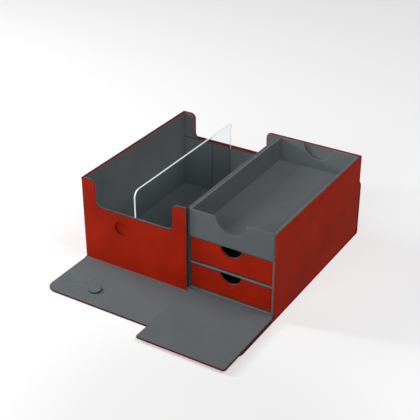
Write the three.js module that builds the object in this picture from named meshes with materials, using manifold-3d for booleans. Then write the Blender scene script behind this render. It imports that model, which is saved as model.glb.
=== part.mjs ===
// Trading card drawer box: a covered base with folding flaps carries an open card box
// with a clear divider and a drawer unit with two drawers and a lift-out tray.
// Millimetres. +Z is up, +X runs from the card box to the drawer unit, +Y runs to the back.
// The origin is the centre of the base panel's underside.

import * as THREE from "three";
import { mergeVertices } from "three/addons/utils/BufferGeometryUtils.js";
import Module from "manifold-3d";

const wasm = await Module();
wasm.setup();

// Overall sizes of the box with its flaps folded up.
const boxWidth = 290;
const boxDepth = 250;
const wallHeight = 121.5;
const endWallWidth = 161.8;

// Sheet thicknesses. A wall or flap is a covered board with a thin lining on its inside.
const baseThickness = 3;
const coveredBoardThickness = 1.5;
const rightCoverThickness = 2.5;
const liningThickness = 1.5;
const flapLiningThickness = 0.8;
const sidePanelThickness = 2.8;
const innerBoardThickness = 3.2;
const guideThickness = 2.8;
const sideBoardThickness = 2.4;
const trayEndThickness = 3;
const traySideThickness = 3.6;
const trayFloorThickness = 2.8;
const drawerFloorThickness = 2;
const underlayThickness = 2;

// Clearances.
const slideClearance = 0.4;
const restClearance = 0.3;
const hingeClearance = 0.05;
const stackClearance = 0.1;
const grooveClearance = 0.3;
const cupClearance = 0.05;
const buttonClearance = 0.6;

// Front and back flaps.
const flapReach = 89.7;
const flapCornerRadius = 16;
const flapEdgeInset = 0.9;
const buttonRadius = 8.7;
const buttonHeight = 2.3;
const buttonEdgeRadius = 0.8;
const buttonAcross = 61;
const buttonOut = 61.5;

// Drawer door.
const doorReach = 118.5;
const doorCornerRadius = 4;
const doorSideClearance = 2.2;

// Card box walls.
const postWidth = 21.5;
const rightPostWidth = 19.7;
const cutOutLevel = 83.5;
const postCrestRadius = 8;
const postFootRadius = 7.5;
const cupLiningThickness = 0.5;

// Card box guides and divider.
const firstGrooveAcross = 52;
const secondGrooveAcross = 83;
const dividerThickness = 2.5;
const dividerCornerRadius = 4;

// Drawer unit.
const unitFrontRecess = 5.5;
const rightWallRecess = 3.4;
const leftPanelRecess = 5.5;
const drawerFrontSkinThickness = 1.2;
const drawerFrontBoardThickness = 2.2;
const drawerFrontCornerRadius = 1.1;
const drawerFrontLift = 2.3;
const drawerBackClearance = 1;
const drawerNotchRadius = 15.4;
const drawerNotchRise = 2.4;

// Lift-out tray.
const trayHeight = 37.4;
const trayTopDrop = 0.3;
const trayFrontRecess = 3.6;
const trayFloorLift = 1.5;
const trayCornerRadius = 2.4;
const trayNotchRadius = 22.5;
const trayNotchRise = 2.6;

// Smoothness of arcs.
const arcSegments = 10;
const roundSegments = 48;

// Sizes that follow from the ones above. A flap is as thick as the base that it folds from.
const wallThickness = coveredBoardThickness + liningThickness;
const flapBoardThickness = baseThickness - flapLiningThickness;
const hingeStripWidth = baseThickness;
const left = -boxWidth / 2;
const right = boxWidth / 2;
const front = -boxDepth / 2;
const back = boxDepth / 2;
const ground = 0;
const deckLevel = baseThickness;
const wallTop = deckLevel + wallHeight;
const cardRight = left + endWallWidth;
const cellLeft = cardRight + sidePanelThickness;
const unitRight = right - rightCoverThickness;
const cellRight = unitRight - sidePanelThickness;
const cellCentre = (cellLeft + cellRight) / 2;
const unitFront = front + unitFrontRecess;
const trayFront = front + trayFrontRecess;
const unitBack = back - wallThickness;
const unitFloorTop = deckLevel + underlayThickness + innerBoardThickness;
const trayTop = wallTop - trayTopDrop;
const trayBottom = trayTop - trayHeight;
const trayDeckTop = trayBottom - stackClearance;
const shelfStack = trayDeckTop - unitFloorTop - 2 * innerBoardThickness;
const cellHeight = shelfStack / 2;
const shelfTop = unitFloorTop + cellHeight + innerBoardThickness;
const hingeLevel = deckLevel + hingeClearance;
const buttonLevel = hingeLevel + buttonOut;
const cupInnerRadius = buttonRadius + buttonClearance;
const cupOuterRadius = cupInnerRadius + cupLiningThickness;
const cupHoleRadius = cupOuterRadius + cupClearance;
const grooveWidth = dividerThickness + 2 * grooveClearance;

// Colours as photographed.
const finishes = {
  leather: { color: 0x98281a, roughness: 0.62 },
  felt: { color: 0x5b6064, roughness: 0.95 },
  clear: { color: 0xdde6e8, roughness: 0.08, opacity: 0.35 },
};

function material(kind) {
  const finish = finishes[kind];
  const clear = finish.opacity !== undefined;
  return new THREE.MeshStandardMaterial({
    color: finish.color,
    roughness: finish.roughness,
    metalness: 0,
    transparent: clear,
    opacity: clear ? finish.opacity : 1,
  });
}

// Names one closed body and gives it a finish of its own.
function piece(name, geometry, kind) {
  const mesh = new THREE.Mesh(geometry, material(kind));
  mesh.name = name;
  return mesh;
}

// A square-edged board between two corners.
function board(name, kind, low, high) {
  const size = high.map((value, axis) => value - low[axis]);
  const geometry = new THREE.BoxGeometry(...size);
  geometry.translate(...high.map((value, axis) => (value + low[axis]) / 2));
  return piece(name, geometry, kind);
}

// Carries an outline drawn upright, across by up, to a wall that faces front. Its arcs are
// as fine as the round pieces that fit its holes.
function uprightSheet(outline, frontFace, thickness) {
  const options = { depth: thickness, bevelEnabled: false, curveSegments: roundSegments / 2 };
  const geometry = new THREE.ExtrudeGeometry(outline, options);
  geometry.rotateX(Math.PI / 2);
  geometry.translate(0, frontFace + thickness, 0);
  return geometry;
}

// Carries an outline drawn in plan, across by back, to a flat sheet.
function flatSheet(outline, lowFace, thickness) {
  const options = { depth: thickness, bevelEnabled: false, curveSegments: arcSegments };
  const geometry = new THREE.ExtrudeGeometry(outline, options);
  geometry.translate(0, 0, lowFace);
  return geometry;
}

// Carries an outline drawn from the side, back by up, along the box's width.
function sideSheet(outline, leftFace, thickness) {
  const options = { depth: thickness, bevelEnabled: false, curveSegments: arcSegments };
  const geometry = new THREE.ExtrudeGeometry(outline, options);
  geometry.rotateY(Math.PI / 2);
  geometry.rotateX(Math.PI / 2);
  geometry.translate(leftFace, 0, 0);
  return geometry;
}

// A rectangle whose four corners each have a radius of their own:
// low left, low right, high right, high left. A radius of zero leaves the corner square.
function roundedOutline(x0, y0, x1, y1, radii) {
  const [a, b, c, d] = radii;
  const outline = new THREE.Shape();
  outline.moveTo(x0 + a, y0);
  outline.lineTo(x1 - b, y0);
  if (b > 0) outline.absarc(x1 - b, y0 + b, b, -Math.PI / 2, 0, false);
  outline.lineTo(x1, y1 - c);
  if (c > 0) outline.absarc(x1 - c, y1 - c, c, 0, Math.PI / 2, false);
  outline.lineTo(x0 + d, y1);
  if (d > 0) outline.absarc(x0 + d, y1 - d, d, Math.PI / 2, Math.PI, false);
  outline.lineTo(x0, y0 + a);
  if (a > 0) outline.absarc(x0 + a, y0 + a, a, Math.PI, Math.PI * 1.5, false);
  return outline;
}

// Leaves out triangles that two merged corners have closed up, as on a turned shape's axis.
function wholeTriangles(index) {
  const kept = [];
  for (let i = 0; i < index.length; i += 3) {
    const [a, b, c] = [index[i], index[i + 1], index[i + 2]];
    if (a !== b && b !== c && c !== a) kept.push(a, b, c);
  }
  return kept;
}

// Turns a three.js geometry into a solid that can be cut.
function solid(geometry) {
  const bare = geometry.clone();
  bare.deleteAttribute("normal");
  bare.deleteAttribute("uv");
  const merged = mergeVertices(bare);
  const vertProperties = new Float32Array(merged.attributes.position.array);
  const triVerts = new Uint32Array(wholeTriangles(merged.index.array));
  return new wasm.Manifold(new wasm.Mesh({ numProp: 3, vertProperties, triVerts }));
}

// Turns a cut solid back into a three.js geometry.
function meshed(body) {
  const mesh = body.getMesh();
  const geometry = new THREE.BufferGeometry();
  const positions = new THREE.BufferAttribute(new Float32Array(mesh.vertProperties), 3);
  geometry.setAttribute("position", positions);
  geometry.setIndex(new THREE.BufferAttribute(new Uint32Array(mesh.triVerts), 1));
  const faceted = geometry.toNonIndexed();
  faceted.computeVertexNormals();
  return faceted;
}

// The same surface facing the other way.
function flipped(geometry) {
  const turned = geometry.clone();
  const index = turned.index.array;
  for (let i = 0; i < index.length; i += 3) {
    [index[i], index[i + 1]] = [index[i + 1], index[i]];
  }
  return turned;
}

// Passes a turned profile through the solid modeller, which drops its doubled seam,
// and turns it to face outwards.
function closedLathe(geometry) {
  const body = solid(geometry);
  return meshed(body.volume() < 0 ? solid(flipped(geometry)) : body);
}

// What is left of a shape when a tool is taken out of it.
function cut(geometry, tool) {
  return meshed(solid(geometry).subtract(solid(tool)));
}

// A cutter that runs from front to back, with its axis at a height above the ground.
function roundCutter(across, height, radius, from, to) {
  const tool = new THREE.CylinderGeometry(radius, radius, to - from, roundSegments);
  tool.translate(across, (to + from) / 2, height);
  return tool;
}

// The covered panel that everything stands on.
function basePanel() {
  return board("base_panel", "leather", [left, front, ground], [right, back, deckLevel]);
}

// The quarter-round strip of covering that a flap folds around. Its round side faces the flap.
function hingeStrip(name, towards) {
  const edge = towards * boxDepth / 2;
  const outline = new THREE.Shape();
  outline.moveTo(edge, deckLevel);
  if (towards < 0) {
    outline.absarc(edge, deckLevel, hingeStripWidth, Math.PI, Math.PI * 1.5, false);
  } else {
    outline.absarc(edge, deckLevel, hingeStripWidth, 0, -Math.PI / 2, true);
  }
  outline.closePath();
  return piece(name, sideSheet(outline, left, boxWidth), "felt");
}

// A flap's outline in plan, lying flat in front of the base, with two round free corners.
function flapOutline(inset) {
  const near = front - hingeStripWidth - stackClearance;
  const radius = flapCornerRadius - inset;
  const corners = [radius, radius, 0, 0];
  return roundedOutline(left + inset, front - flapReach + inset, right - inset, near, corners);
}

// The raised round button, with a softened rim, standing on a flap's lining.
function buttonGeometry(across) {
  const rim = buttonRadius - buttonEdgeRadius;
  const shoulder = buttonHeight - buttonEdgeRadius;
  const profile = [new THREE.Vector2(0, 0), new THREE.Vector2(buttonRadius, 0)];
  for (let step = 0; step <= arcSegments / 2; step += 1) {
    const turn = (Math.PI / 2) * (step / (arcSegments / 2));
    const x = rim + buttonEdgeRadius * Math.cos(turn);
    const y = shoulder + buttonEdgeRadius * Math.sin(turn);
    profile.push(new THREE.Vector2(x, y));
  }
  profile.push(new THREE.Vector2(0, buttonHeight));
  const button = closedLathe(new THREE.LatheGeometry(profile, roundSegments));
  button.rotateX(Math.PI / 2);
  button.translate(across, front - buttonOut, deckLevel);
  return button;
}

// The flap's three layers as they lie flat: covered board below, lining, button on top.
function flapLayers(buttonPlace) {
  return {
    cover: flatSheet(flapOutline(0), ground, flapBoardThickness),
    lining: flatSheet(flapOutline(flapEdgeInset), flapBoardThickness, flapLiningThickness),
    button: buttonGeometry(buttonPlace),
  };
}

function frontFlap() {
  const layers = flapLayers(left + buttonAcross);
  return [
    piece("front_flap_cover", layers.cover, "leather"),
    piece("front_flap_lining", layers.lining, "felt"),
    piece("front_flap_button", layers.button, "felt"),
  ];
}

// The back flap is cut like the front one, turned half round, and stands closed against
// the back wall. Its button meets the card box, so it sits near the other end before the turn.
function backFlap() {
  const layers = flapLayers(right - buttonAcross);
  for (const geometry of Object.values(layers)) {
    geometry.rotateZ(Math.PI);
    geometry.translate(0, -back, -hingeLevel);
    geometry.rotateX(Math.PI / 2);
    geometry.translate(0, back, hingeLevel);
  }
  return [
    piece("back_flap_cover", layers.cover, "leather"),
    piece("back_flap_lining", layers.lining, "felt"),
    piece("back_flap_button", layers.button, "felt"),
  ];
}

// A post-and-cut-out wall: full height at both ends, low between, with rounded crests
// beside the cut-out and rounded feet where each post meets the low edge.
function postedOutline(x0, x1) {
  const level = deckLevel + cutOutLevel;
  const leftPost = left + postWidth;
  const rightPost = cardRight - rightPostWidth;
  const crest = postCrestRadius;
  const foot = postFootRadius;
  const outline = new THREE.Shape();
  outline.moveTo(x0, deckLevel);
  outline.lineTo(x1, deckLevel);
  outline.lineTo(x1, wallTop);
  outline.lineTo(rightPost + crest, wallTop);
  outline.absarc(rightPost + crest, wallTop - crest, crest, Math.PI / 2, Math.PI, false);
  outline.lineTo(rightPost, level + foot);
  outline.absarc(rightPost - foot, level + foot, foot, 0, -Math.PI / 2, true);
  outline.lineTo(leftPost + foot, level);
  outline.absarc(leftPost + foot, level + foot, foot, -Math.PI / 2, -Math.PI, true);
  outline.lineTo(leftPost, wallTop - crest);
  outline.absarc(leftPost - crest, wallTop - crest, crest, 0, Math.PI / 2, false);
  outline.lineTo(x0, wallTop);
  outline.closePath();
  return outline;
}

// The round hole that the button's recess is set in.
function withRecessHole(outline, across) {
  const hole = new THREE.Path();
  hole.absarc(across, buttonLevel, cupHoleRadius, 0, Math.PI * 2, true);
  outline.holes.push(hole);
  return outline;
}

// One posted wall: a covered board outside and its lining inside, both with the recess hole.
function postedWall(side, coverFace, liningFace, across) {
  const liningStart = left + coveredBoardThickness;
  const coverOutline = withRecessHole(postedOutline(left, cardRight), across);
  const liningOutline = withRecessHole(postedOutline(liningStart, cardRight), across);
  const cover = uprightSheet(coverOutline, coverFace, coveredBoardThickness);
  const lining = uprightSheet(liningOutline, liningFace, liningThickness);
  return [
    piece(`card_box_${side}_cover`, cover, "leather"),
    piece(`card_box_${side}_board`, lining, "felt"),
  ];
}

// The lined pocket that takes a flap's button: a shallow cup open to the outside.
function recessCup(name, across, outerFace, inwards) {
  const depth = wallThickness;
  const bottom = depth - cupLiningThickness;
  const profile = [
    new THREE.Vector2(0, depth),
    new THREE.Vector2(0, bottom),
    new THREE.Vector2(cupInnerRadius, bottom),
    new THREE.Vector2(cupInnerRadius, 0),
    new THREE.Vector2(cupOuterRadius, 0),
    new THREE.Vector2(cupOuterRadius, depth),
  ];
  profile.push(profile[0].clone());
  for (const point of profile) point.y *= inwards;
  const cup = new THREE.LatheGeometry(profile, roundSegments);
  cup.translate(across, outerFace, buttonLevel);
  return piece(name, closedLathe(cup), "leather");
}

// The card box's plain walls and its floor. The right wall stands against the ends of the
// posted walls and parts the card box from the drawer unit.
function cardBoxSides() {
  const innerFront = front + wallThickness;
  const innerBack = back - wallThickness;
  const coverFront = front + coveredBoardThickness;
  const coverBack = back - coveredBoardThickness;
  const liningLeft = left + coveredBoardThickness;
  const innerLeft = left + wallThickness;
  return [
    board("card_box_left_cover", "leather",
      [left, coverFront, deckLevel], [liningLeft, coverBack, wallTop]),
    board("card_box_left_board", "felt",
      [liningLeft, innerFront, deckLevel], [innerLeft, innerBack, wallTop]),
    board("card_box_right_board", "felt",
      [cardRight, front + leftPanelRecess, deckLevel], [cellLeft, coverBack, wallTop]),
    board("card_box_floor", "felt",
      [innerLeft, innerFront, deckLevel], [cardRight, innerBack, deckLevel + innerBoardThickness]),
  ];
}

// Three flat panels on an end wall, with a groove for the divider between each two.
function guidePanels(side, face) {
  const floorTop = deckLevel + innerBoardThickness;
  const level = deckLevel + cutOutLevel;
  const first = left + firstGrooveAcross;
  const second = left + secondGrooveAcross;
  const half = grooveWidth / 2;
  const spans = {
    left: [left + wallThickness, first - half],
    middle: [first + half, second - half],
    right: [second + half, cardRight],
  };
  return Object.entries(spans).map(([place, [x0, x1]]) =>
    board(`${side}_guide_${place}`, "felt", [x0, face, floorTop], [x1, face + guideThickness, level]));
}

// The clear sheet that stands in the second groove and lifts straight out.
function divider() {
  const middle = left + secondGrooveAcross;
  const near = front + wallThickness + restClearance;
  const far = back - wallThickness - restClearance;
  const low = deckLevel + innerBoardThickness + restClearance;
  const r = dividerCornerRadius;
  const outline = roundedOutline(near, low, far, wallTop, [r, r, r, r]);
  const sheet = sideSheet(outline, middle - dividerThickness / 2, dividerThickness);
  return piece("divider", sheet, "clear");
}

function cardBox() {
  const across = left + buttonAcross;
  const innerFront = front + wallThickness;
  const innerBack = back - wallThickness;
  return [
    ...postedWall("front", front, front + coveredBoardThickness, across),
    ...postedWall("back", back - coveredBoardThickness, innerBack, across),
    recessCup("front_recess_cup", across, front, 1),
    recessCup("back_recess_cup", across, back, -1),
    ...cardBoxSides(),
    ...guidePanels("front", innerFront),
    ...guidePanels("back", innerBack - guideThickness),
    divider(),
  ];
}

// The drawer unit's shell: floor, two decks, a panel and a covered wall on its right and a
// wall at its back. The card box's wall closes its left side.
function drawerUnit() {
  const coverBack = back - coveredBoardThickness;
  const wallFront = front + rightWallRecess;
  const underlayTop = deckLevel + underlayThickness;
  const shelfBottom = shelfTop - innerBoardThickness;
  const deckBottom = trayDeckTop - innerBoardThickness;
  return [
    board("drawer_unit_underlay", "felt",
      [cellLeft, wallFront, deckLevel], [cellRight, unitBack, underlayTop]),
    board("drawer_unit_floor", "felt",
      [cellLeft, unitFront, underlayTop], [cellRight, unitBack, unitFloorTop]),
    board("drawer_unit_shelf", "felt",
      [cellLeft, unitFront, shelfBottom], [cellRight, unitBack, shelfTop]),
    board("drawer_unit_deck", "felt",
      [cellLeft, unitFront, deckBottom], [cellRight, unitBack, trayDeckTop]),
    board("drawer_unit_right_board", "felt",
      [cellRight, wallFront, deckLevel], [unitRight, unitBack, trayDeckTop]),
    board("drawer_unit_right_cover", "leather",
      [unitRight, wallFront, deckLevel], [right, back, wallTop]),
    board("drawer_unit_back_board", "felt",
      [cellLeft, unitBack, deckLevel], [unitRight, coverBack, wallTop]),
    board("drawer_unit_back_cover", "leather",
      [cardRight, coverBack, deckLevel], [unitRight, back, wallTop]),
  ];
}

// The front of a drawer or of the tray, drawn in plan with two softened outer corners and
// notched in the middle of its top edge.
function notchedFront(x0, x1, face, thickness, low, high, radius, notch) {
  const outline = roundedOutline(x0, face, x1, face + thickness, [radius, radius, 0, 0]);
  const sheet = flatSheet(outline, low, high - low);
  const reach = notch.radius;
  const centre = (x0 + x1) / 2;
  const tool = roundCutter(centre, high + notch.rise, reach, face - reach, face + reach);
  return cut(sheet, tool);
}

// An open drawer: a covered front that hides the floor's edge, two sides, a back and a floor.
function drawer(name, cellBottom) {
  const x0 = cellLeft + slideClearance;
  const x1 = cellRight - slideClearance;
  const low = cellBottom + restClearance;
  const high = cellBottom + cellHeight - slideClearance;
  const skinFace = unitFront;
  const boardFace = skinFace + drawerFrontSkinThickness;
  const bodyFront = boardFace + drawerFrontBoardThickness;
  const bodyBack = unitBack - drawerBackClearance;
  const floorTop = low + drawerFloorThickness;
  const lift = low + drawerFrontLift;
  const side = sideBoardThickness;
  const notch = { radius: drawerNotchRadius, rise: drawerNotchRise };
  const skin = notchedFront(x0, x1, skinFace, drawerFrontSkinThickness, lift, high,
    drawerFrontCornerRadius, notch);
  const core = notchedFront(x0, x1, boardFace, drawerFrontBoardThickness, lift, high, 0, notch);
  return [
    piece(`${name}_front_cover`, skin, "leather"),
    piece(`${name}_front_board`, core, "felt"),
    board(`${name}_floor`, "felt", [x0, bodyFront, low], [x1, bodyBack, floorTop]),
    board(`${name}_left_side`, "felt", [x0, bodyFront, floorTop], [x0 + side, bodyBack, high]),
    board(`${name}_right_side`, "felt", [x1 - side, bodyFront, floorTop], [x1, bodyBack, high]),
    board(`${name}_back`, "felt", [x0 + side, bodyBack - side, floorTop], [x1 - side, bodyBack, high]),
  ];
}

// The tray rests on the upper deck and on the panel beside it. Its floor is raised, so the
// ends reach lower than it.
function tray() {
  const x0 = cellLeft + slideClearance;
  const x1 = unitRight - slideClearance;
  const rear = unitBack - drawerBackClearance;
  const end = trayEndThickness;
  const side = traySideThickness;
  const floorLow = trayBottom + trayFloorLift;
  const floorHigh = floorLow + trayFloorThickness;
  const notch = { radius: trayNotchRadius, rise: trayNotchRise };
  const frontEnd = notchedFront(x0, x1, trayFront, end, trayBottom, trayTop,
    trayCornerRadius, notch);
  const backEnd = frontEnd.clone();
  backEnd.rotateZ(Math.PI);
  backEnd.translate(x0 + x1, rear + trayFront, 0);
  return [
    piece("tray_front", frontEnd, "felt"),
    piece("tray_back", backEnd, "felt"),
    board("tray_left", "felt", [x0, trayFront + end, trayBottom], [x0 + side, rear - end, trayTop]),
    board("tray_right", "felt", [x1 - side, trayFront + end, trayBottom], [x1, rear - end, trayTop]),
    board("tray_floor", "felt",
      [x0 + side, trayFront + end, floorLow], [x1 - side, rear - end, floorHigh]),
  ];
}

// The door lies open on the front flap, hinged along the foot of the drawer unit.
function drawerDoor() {
  const x0 = cardRight + doorSideClearance;
  const low = deckLevel + stackClearance;
  const middle = low + flapBoardThickness;
  const radius = doorCornerRadius;
  const inset = flapEdgeInset;
  const near = front - hingeClearance;
  const outer = roundedOutline(x0, front - doorReach, right, near, [radius, radius, 0, 0]);
  const inner = roundedOutline(x0 + inset, front - doorReach + inset, right - inset, near,
    [radius - inset, radius - inset, 0, 0]);
  return [
    piece("drawer_door_cover", flatSheet(outer, low, flapBoardThickness), "leather"),
    piece("drawer_door_lining", flatSheet(inner, middle, flapLiningThickness), "felt"),
  ];
}

const group = new THREE.Group();
group.name = "trading_card_drawer_box";
group.add(
  basePanel(),
  hingeStrip("front_hinge_strip", -1),
  hingeStrip("back_hinge_strip", 1),
  ...frontFlap(),
  ...backFlap(),
  ...cardBox(),
  ...drawerUnit(),
  ...drawer("lower_drawer", unitFloorTop),
  ...drawer("upper_drawer", shelfTop),
  ...tray(),
  ...drawerDoor(),
);

export default group;
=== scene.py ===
"""Looks of the trading card drawer box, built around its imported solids.

Metres in the mesh, millimetres in the sizes. +Z is up, +X runs from the card box to the
drawer unit, +Y runs to the back. The origin is the centre of the base panel's underside.
"""

import logging
import math
from dataclasses import dataclass, field
from enum import Enum
from typing import Any, Callable, ClassVar, NamedTuple, Sequence

import bpy
import numpy as np
from mathutils.geometry import delaunay_2d_cdt
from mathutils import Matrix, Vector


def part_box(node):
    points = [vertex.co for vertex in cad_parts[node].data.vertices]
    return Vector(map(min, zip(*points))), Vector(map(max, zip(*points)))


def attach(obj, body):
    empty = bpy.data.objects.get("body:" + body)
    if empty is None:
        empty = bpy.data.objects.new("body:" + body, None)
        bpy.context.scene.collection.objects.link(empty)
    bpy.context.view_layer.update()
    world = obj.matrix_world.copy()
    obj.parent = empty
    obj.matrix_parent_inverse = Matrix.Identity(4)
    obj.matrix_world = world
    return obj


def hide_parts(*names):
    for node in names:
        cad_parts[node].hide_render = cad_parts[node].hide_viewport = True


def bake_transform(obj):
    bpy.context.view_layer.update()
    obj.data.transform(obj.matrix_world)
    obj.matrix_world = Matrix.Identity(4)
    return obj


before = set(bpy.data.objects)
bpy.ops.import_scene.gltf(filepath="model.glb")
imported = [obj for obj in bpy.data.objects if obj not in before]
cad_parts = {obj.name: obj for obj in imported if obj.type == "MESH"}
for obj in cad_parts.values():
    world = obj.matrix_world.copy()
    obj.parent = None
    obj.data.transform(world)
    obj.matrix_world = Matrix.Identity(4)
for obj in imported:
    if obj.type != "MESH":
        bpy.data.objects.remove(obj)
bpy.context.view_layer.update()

log = logging.getLogger("card_drawer_box")
MM = 0.001
CORNER_MM = 1e-6  # A place this near an edge's end is the end itself.
REPEAT_MM = 1e-5  # Points this near each other are one.
RIB_MM = 1e-4  # A point this near a rib lies on it.
ARC_STEPS = 10  # Chords in an arc where nothing else is said.
BEND_STEPS = 8  # Chords in the round corner of a wall.
SMALL_STEPS = 4  # Chords in a small round, such as a lip's.
RIM_STEPS = 6  # Chords in a notch's lip or a button's rim.
HOLE_STEPS = 48  # Chords in a round hole.
AXIS_MM = 0.01  # A turned profile ends this near its axis.
ENCLOSED = 1  # Asks the triangulation for what its edges enclose.
FRAME_DIGITS = 3  # A measure of a solid is good to this many digits of a millimetre.
WHITE = (1.0, 1.0, 1.0, 1.0)

Mapping = Callable[[np.ndarray, np.ndarray, np.ndarray], np.ndarray]
Chooser = Callable[[np.ndarray, np.ndarray], np.ndarray]
Surface = tuple[np.ndarray, list[np.ndarray]]


class Lie(Enum):
    """Which way a flat sheet lies: its outline's two axes, then the axis of its thickness."""

    PLAN = (0, 1, 2)
    FACING_FRONT = (0, 2, 1)
    FACING_SIDE = (1, 2, 0)

    def carry(self, u: np.ndarray, v: np.ndarray, w: np.ndarray) -> np.ndarray:
        """Puts the outline's axes and the height on the box's axes."""
        return np.column_stack([u, v, w])[:, np.argsort(self.value)]


class Way(Enum):
    """A way that a face can look, as a unit vector."""

    RIGHT = (1, 0, 0)
    FRONT = (0, -1, 0)
    UP = (0, 0, 1)

    def faced(self, least: float) -> Chooser:
        """Chooses the faces whose normals have more than the least part along this way."""
        return lambda normals, centres: normals @ self.value > least

    def skirted(self, most: float) -> Chooser:
        """Chooses the faces whose normals have less than the given part along this line."""
        return lambda normals, centres: np.abs(normals @ self.value) < most


class Slot(Enum):
    """The record's material slots."""

    LEATHERETTE = "leatherette"
    LINED_BOARD = "microfibre_lined_board"
    CLEAR_ACRYLIC = "clear_acrylic"


class Skin(NamedTuple):
    """A finish that has been made: its material and the record's slot for it."""

    material: bpy.types.Material
    slot: Slot | None


def linear(hex_colour: str) -> tuple[float, float, float, float]:
    """Turns an sRGB hex colour into the linear values that shaders take.

    Args:
        hex_colour: Six hex digits.

    Returns:
        Red, green, blue and an alpha of one.
    """
    values = np.array([int(hex_colour[i : i + 2], 16) for i in (0, 2, 4)]) / 255
    low, high = values / 12.92, ((values + 0.055) / 1.055) ** 2.4
    return (*np.where(values <= 0.04045, low, high).tolist(), 1.0)


def node(tree: Any, kind: str, inputs: dict[Any, Any] | None = None, **settings: Any) -> Any:
    """Adds one node to a tree.

    Args:
        tree: The node tree.
        kind: The node's type name, without the word that they all start with.
        inputs: Values by input name or number. A node is linked from its first live
            output, a socket is linked as it is, and anything else is set.
        settings: The node's own properties.

    Returns:
        The new node.
    """
    added = tree.nodes.new("ShaderNode" + kind)
    for name, value in settings.items():
        setattr(added, name, value)
    for key, value in (inputs or {}).items():
        if isinstance(value, bpy.types.Node):
            value = next(output for output in value.outputs if output.enabled)
        if isinstance(value, bpy.types.NodeSocket):
            tree.links.new(value, added.inputs[key])
        else:
            added.inputs[key].default_value = value
    return added


def seen_rays(tree: Any) -> Any:
    """Tells the rays that show a backdrop: the camera's own, and mirror and glass rays.

    Args:
        tree: The node tree.

    Returns:
        A node that gives one for such a ray and zero for any other.
    """
    rays = node(tree, "LightPath").outputs
    kinds = ("Camera", "Glossy", "Transmission")
    camera, glossy, through = (rays[f"Is {kind} Ray"] for kind in kinds)
    some = node(tree, "Math", {0: camera, 1: glossy}, operation="ADD")
    return node(tree, "Math", {0: some, 1: through}, operation="ADD", use_clamp=True)


class Extent(NamedTuple):
    """How far a solid reaches: its lowest and its highest corner in millimetres."""

    low: np.ndarray
    high: np.ndarray

    @property
    def size(self) -> np.ndarray:
        """Its lengths along the three axes."""
        return self.high - self.low


def extent(*parts: str) -> Extent:
    """Measures one solid of the frame, or some as a whole.

    Args:
        parts: The solids' node names.

    Returns:
        The lowest and the highest corner of them all.
    """
    ends = np.array([[tuple(end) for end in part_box(part)] for part in parts]) / MM
    return Extent(ends[:, 0].min(0).round(FRAME_DIGITS), ends[:, 1].max(0).round(FRAME_DIGITS))


def add_object(name: str, data: Any) -> bpy.types.Object:
    """Adds an object to the scene.

    Args:
        name: Its name.
        data: Its mesh, light or camera.

    Returns:
        The object.
    """
    made = bpy.data.objects.new(name, data)
    bpy.context.scene.collection.objects.link(made)
    return made


@dataclass(frozen=True)
class Finish:
    """A finish, which becomes one material."""

    slot: ClassVar[Slot | None] = None
    name: str

    def shader(self, tree: Any) -> Any:
        """Adds the finish's nodes and gives the last; every kind of finish has its own."""
        raise NotImplementedError

    def skin(self) -> Skin:
        """Makes the material.

        Returns:
            The material and its slot.
        """
        material = bpy.data.materials.new(self.name)
        material.use_nodes = True
        tree = material.node_tree
        tree.nodes.clear()
        node(tree, "OutputMaterial", {"Surface": self.shader(tree)})
        return Skin(material, self.slot)


class Noise(NamedTuple):
    """A noise pattern, with the real size of its patches."""

    size_mm: float
    detail: float
    roughness: float

    @property
    def inputs(self) -> dict[str, float]:
        """The node's inputs: its scale is one over the real size."""
        scale = 1 / (self.size_mm * MM)
        return {"Scale": scale, "Detail": self.detail, "Roughness": self.roughness}


class Sheen(NamedTuple):
    """The bloom of a nap at grazing angles."""

    weight: float
    roughness: float
    tint: str


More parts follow.
